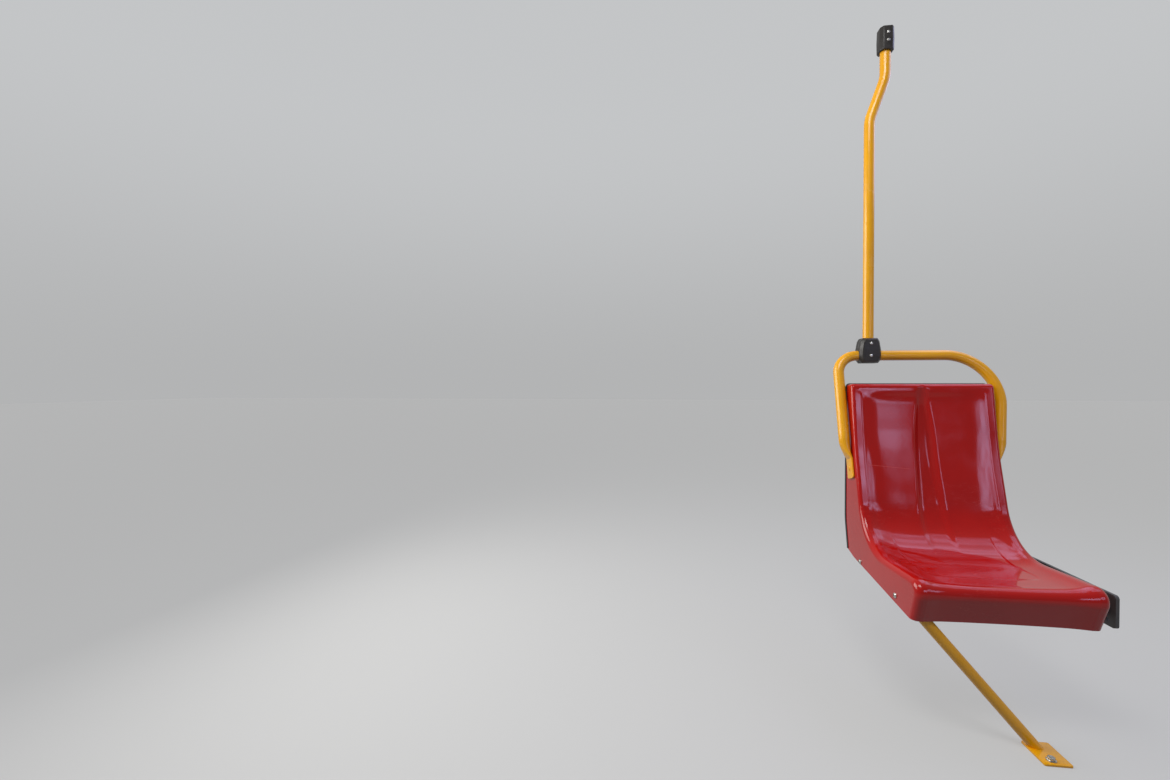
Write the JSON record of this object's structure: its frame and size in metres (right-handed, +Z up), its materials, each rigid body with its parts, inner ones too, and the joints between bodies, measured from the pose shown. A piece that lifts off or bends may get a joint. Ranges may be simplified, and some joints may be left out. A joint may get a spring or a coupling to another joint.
{
  "type": "tram passenger seat",
  "caption": "Moulded laminate tram seat with a tubular grab loop, a clamped ceiling stanchion, a wall-side frame and a raking floor strut",
  "frame": {"origin": "centre of the foot plate's bolt hole at floor level", "axes": "+Z up, the seat faces -Y, the aisle side is -X and the side wall is towards +X"},
  "size_m": [0.5209, 0.5718, 2.09],
  "materials": {
    "laminate_red": "gel-coated glass fibre laminate, polished",
    "tube_yellow": "powder coated, gloss",
    "clamp_black": "moulded, satin",
    "trim_rubber": "extruded, satin",
    "frame_paint": "satin primer"
  },
  "bodies": {
    "root": {"seat_shell": "laminate_red", "edge_trim": "trim_rubber", "grab_loop": "tube_yellow", "clamp_front": "clamp_black", "clamp_rear": "clamp_black", "stanchion": "tube_yellow", "ceiling_socket": "clamp_black", "rail_aisle": "frame_paint", "rail_wall": "frame_paint", "cross_tube_rear": "frame_paint", "cross_tube_front": "frame_paint", "wall_plate": "frame_paint", "strut": "tube_yellow", "strut_bracket": "frame_paint", "foot_plate": "tube_yellow", "pad_aisle": "frame_paint", "pad_wall": "frame_paint", "back_brace": "frame_paint"}
  },
  "joints": []
}
